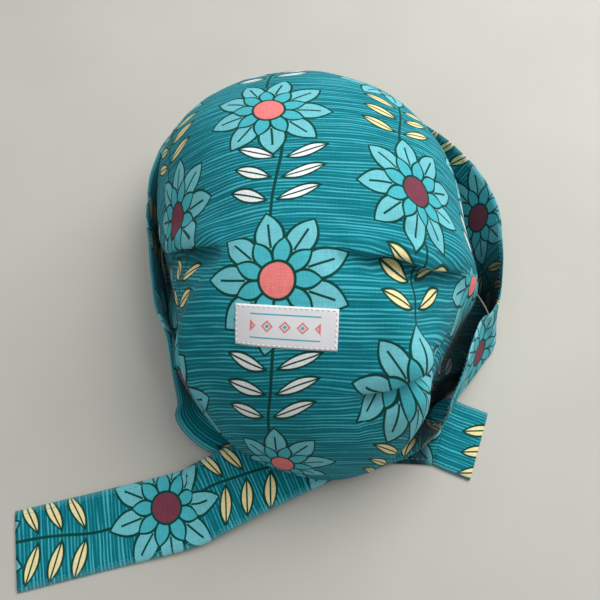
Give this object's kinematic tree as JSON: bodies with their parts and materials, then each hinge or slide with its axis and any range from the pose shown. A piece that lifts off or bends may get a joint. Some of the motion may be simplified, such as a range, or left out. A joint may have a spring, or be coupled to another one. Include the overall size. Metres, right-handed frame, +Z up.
{
  "type": "surgical scrub cap",
  "caption": "Soft cotton scrub cap with a domed crown, a turned-up cuff band and two flat ties that cross under the open nape.",
  "frame": {"origin": "middle of the footprint, on the surface the cap lies on", "axes": "+X to the cap's right, +Y from the nape to the brow, +Z up"},
  "size_m": [0.2994, 0.3352, 0.1283],
  "materials": {
    "printed_cotton": "matt plain-weave cotton",
    "woven_label": "soft satin weave"
  },
  "bodies": {
    "root": {"crown": "printed_cotton", "left_band": "printed_cotton", "right_band": "printed_cotton", "label": "woven_label"}
  },
  "joints": []
}
